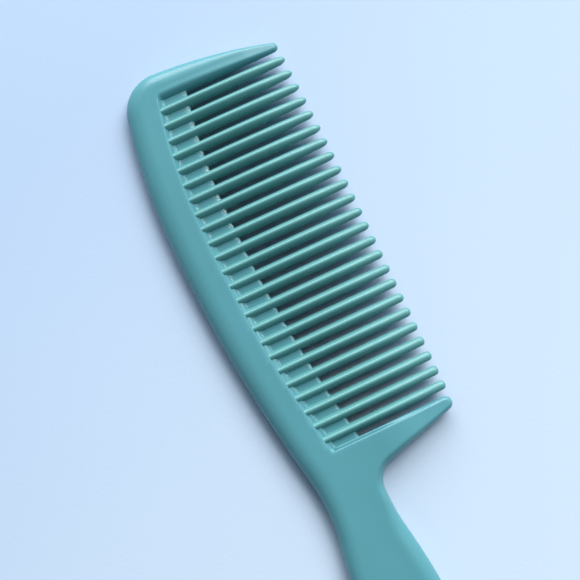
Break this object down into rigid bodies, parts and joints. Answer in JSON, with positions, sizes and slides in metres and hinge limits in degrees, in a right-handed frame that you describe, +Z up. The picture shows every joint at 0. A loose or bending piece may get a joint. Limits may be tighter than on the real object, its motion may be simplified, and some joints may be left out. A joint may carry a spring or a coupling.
{
  "type": "handled grooming comb",
  "caption": "Flat one-piece plastic comb with a curved back, parallel tapered teeth between two guard teeth, and a paddle handle.",
  "frame": {"origin": "centre of the bounding box, on its bottom: the comb lies flat with its lower face on z = 0", "axes": "+X from the free end towards the end of the handle, +Y from the back towards the tooth tips, +Z up out of the comb's flat face"},
  "size_m": [0.2198, 0.0544, 0.0068],
  "materials": {
    "comb_plastic": "semi-matte injection-moulded teal-green plastic, dyed through, with fine scuffs"
  },
  "bodies": {
    "root": {"spine": "comb_plastic", "handle": "comb_plastic", "front_guard_tooth": "comb_plastic", "heel_guard_tooth": "comb_plastic", "root_web": "comb_plastic", "tooth_01": "comb_plastic", "tooth_02": "comb_plastic", "tooth_03": "comb_plastic", "tooth_04": "comb_plastic", "tooth_05": "comb_plastic", "tooth_06": "comb_plastic", "tooth_07": "comb_plastic", "tooth_08": "comb_plastic", "tooth_09": "comb_plastic", "tooth_10": "comb_plastic", "tooth_11": "comb_plastic", "tooth_12": "comb_plastic", "tooth_13": "comb_plastic", "tooth_14": "comb_plastic", "tooth_15": "comb_plastic", "tooth_16": "comb_plastic", "tooth_17": "comb_plastic", "tooth_18": "comb_plastic", "tooth_19": "comb_plastic", "tooth_20": "comb_plastic", "tooth_21": "comb_plastic", "tooth_22": "comb_plastic", "tooth_23": "comb_plastic", "tooth_24": "comb_plastic"}
  },
  "joints": []
}
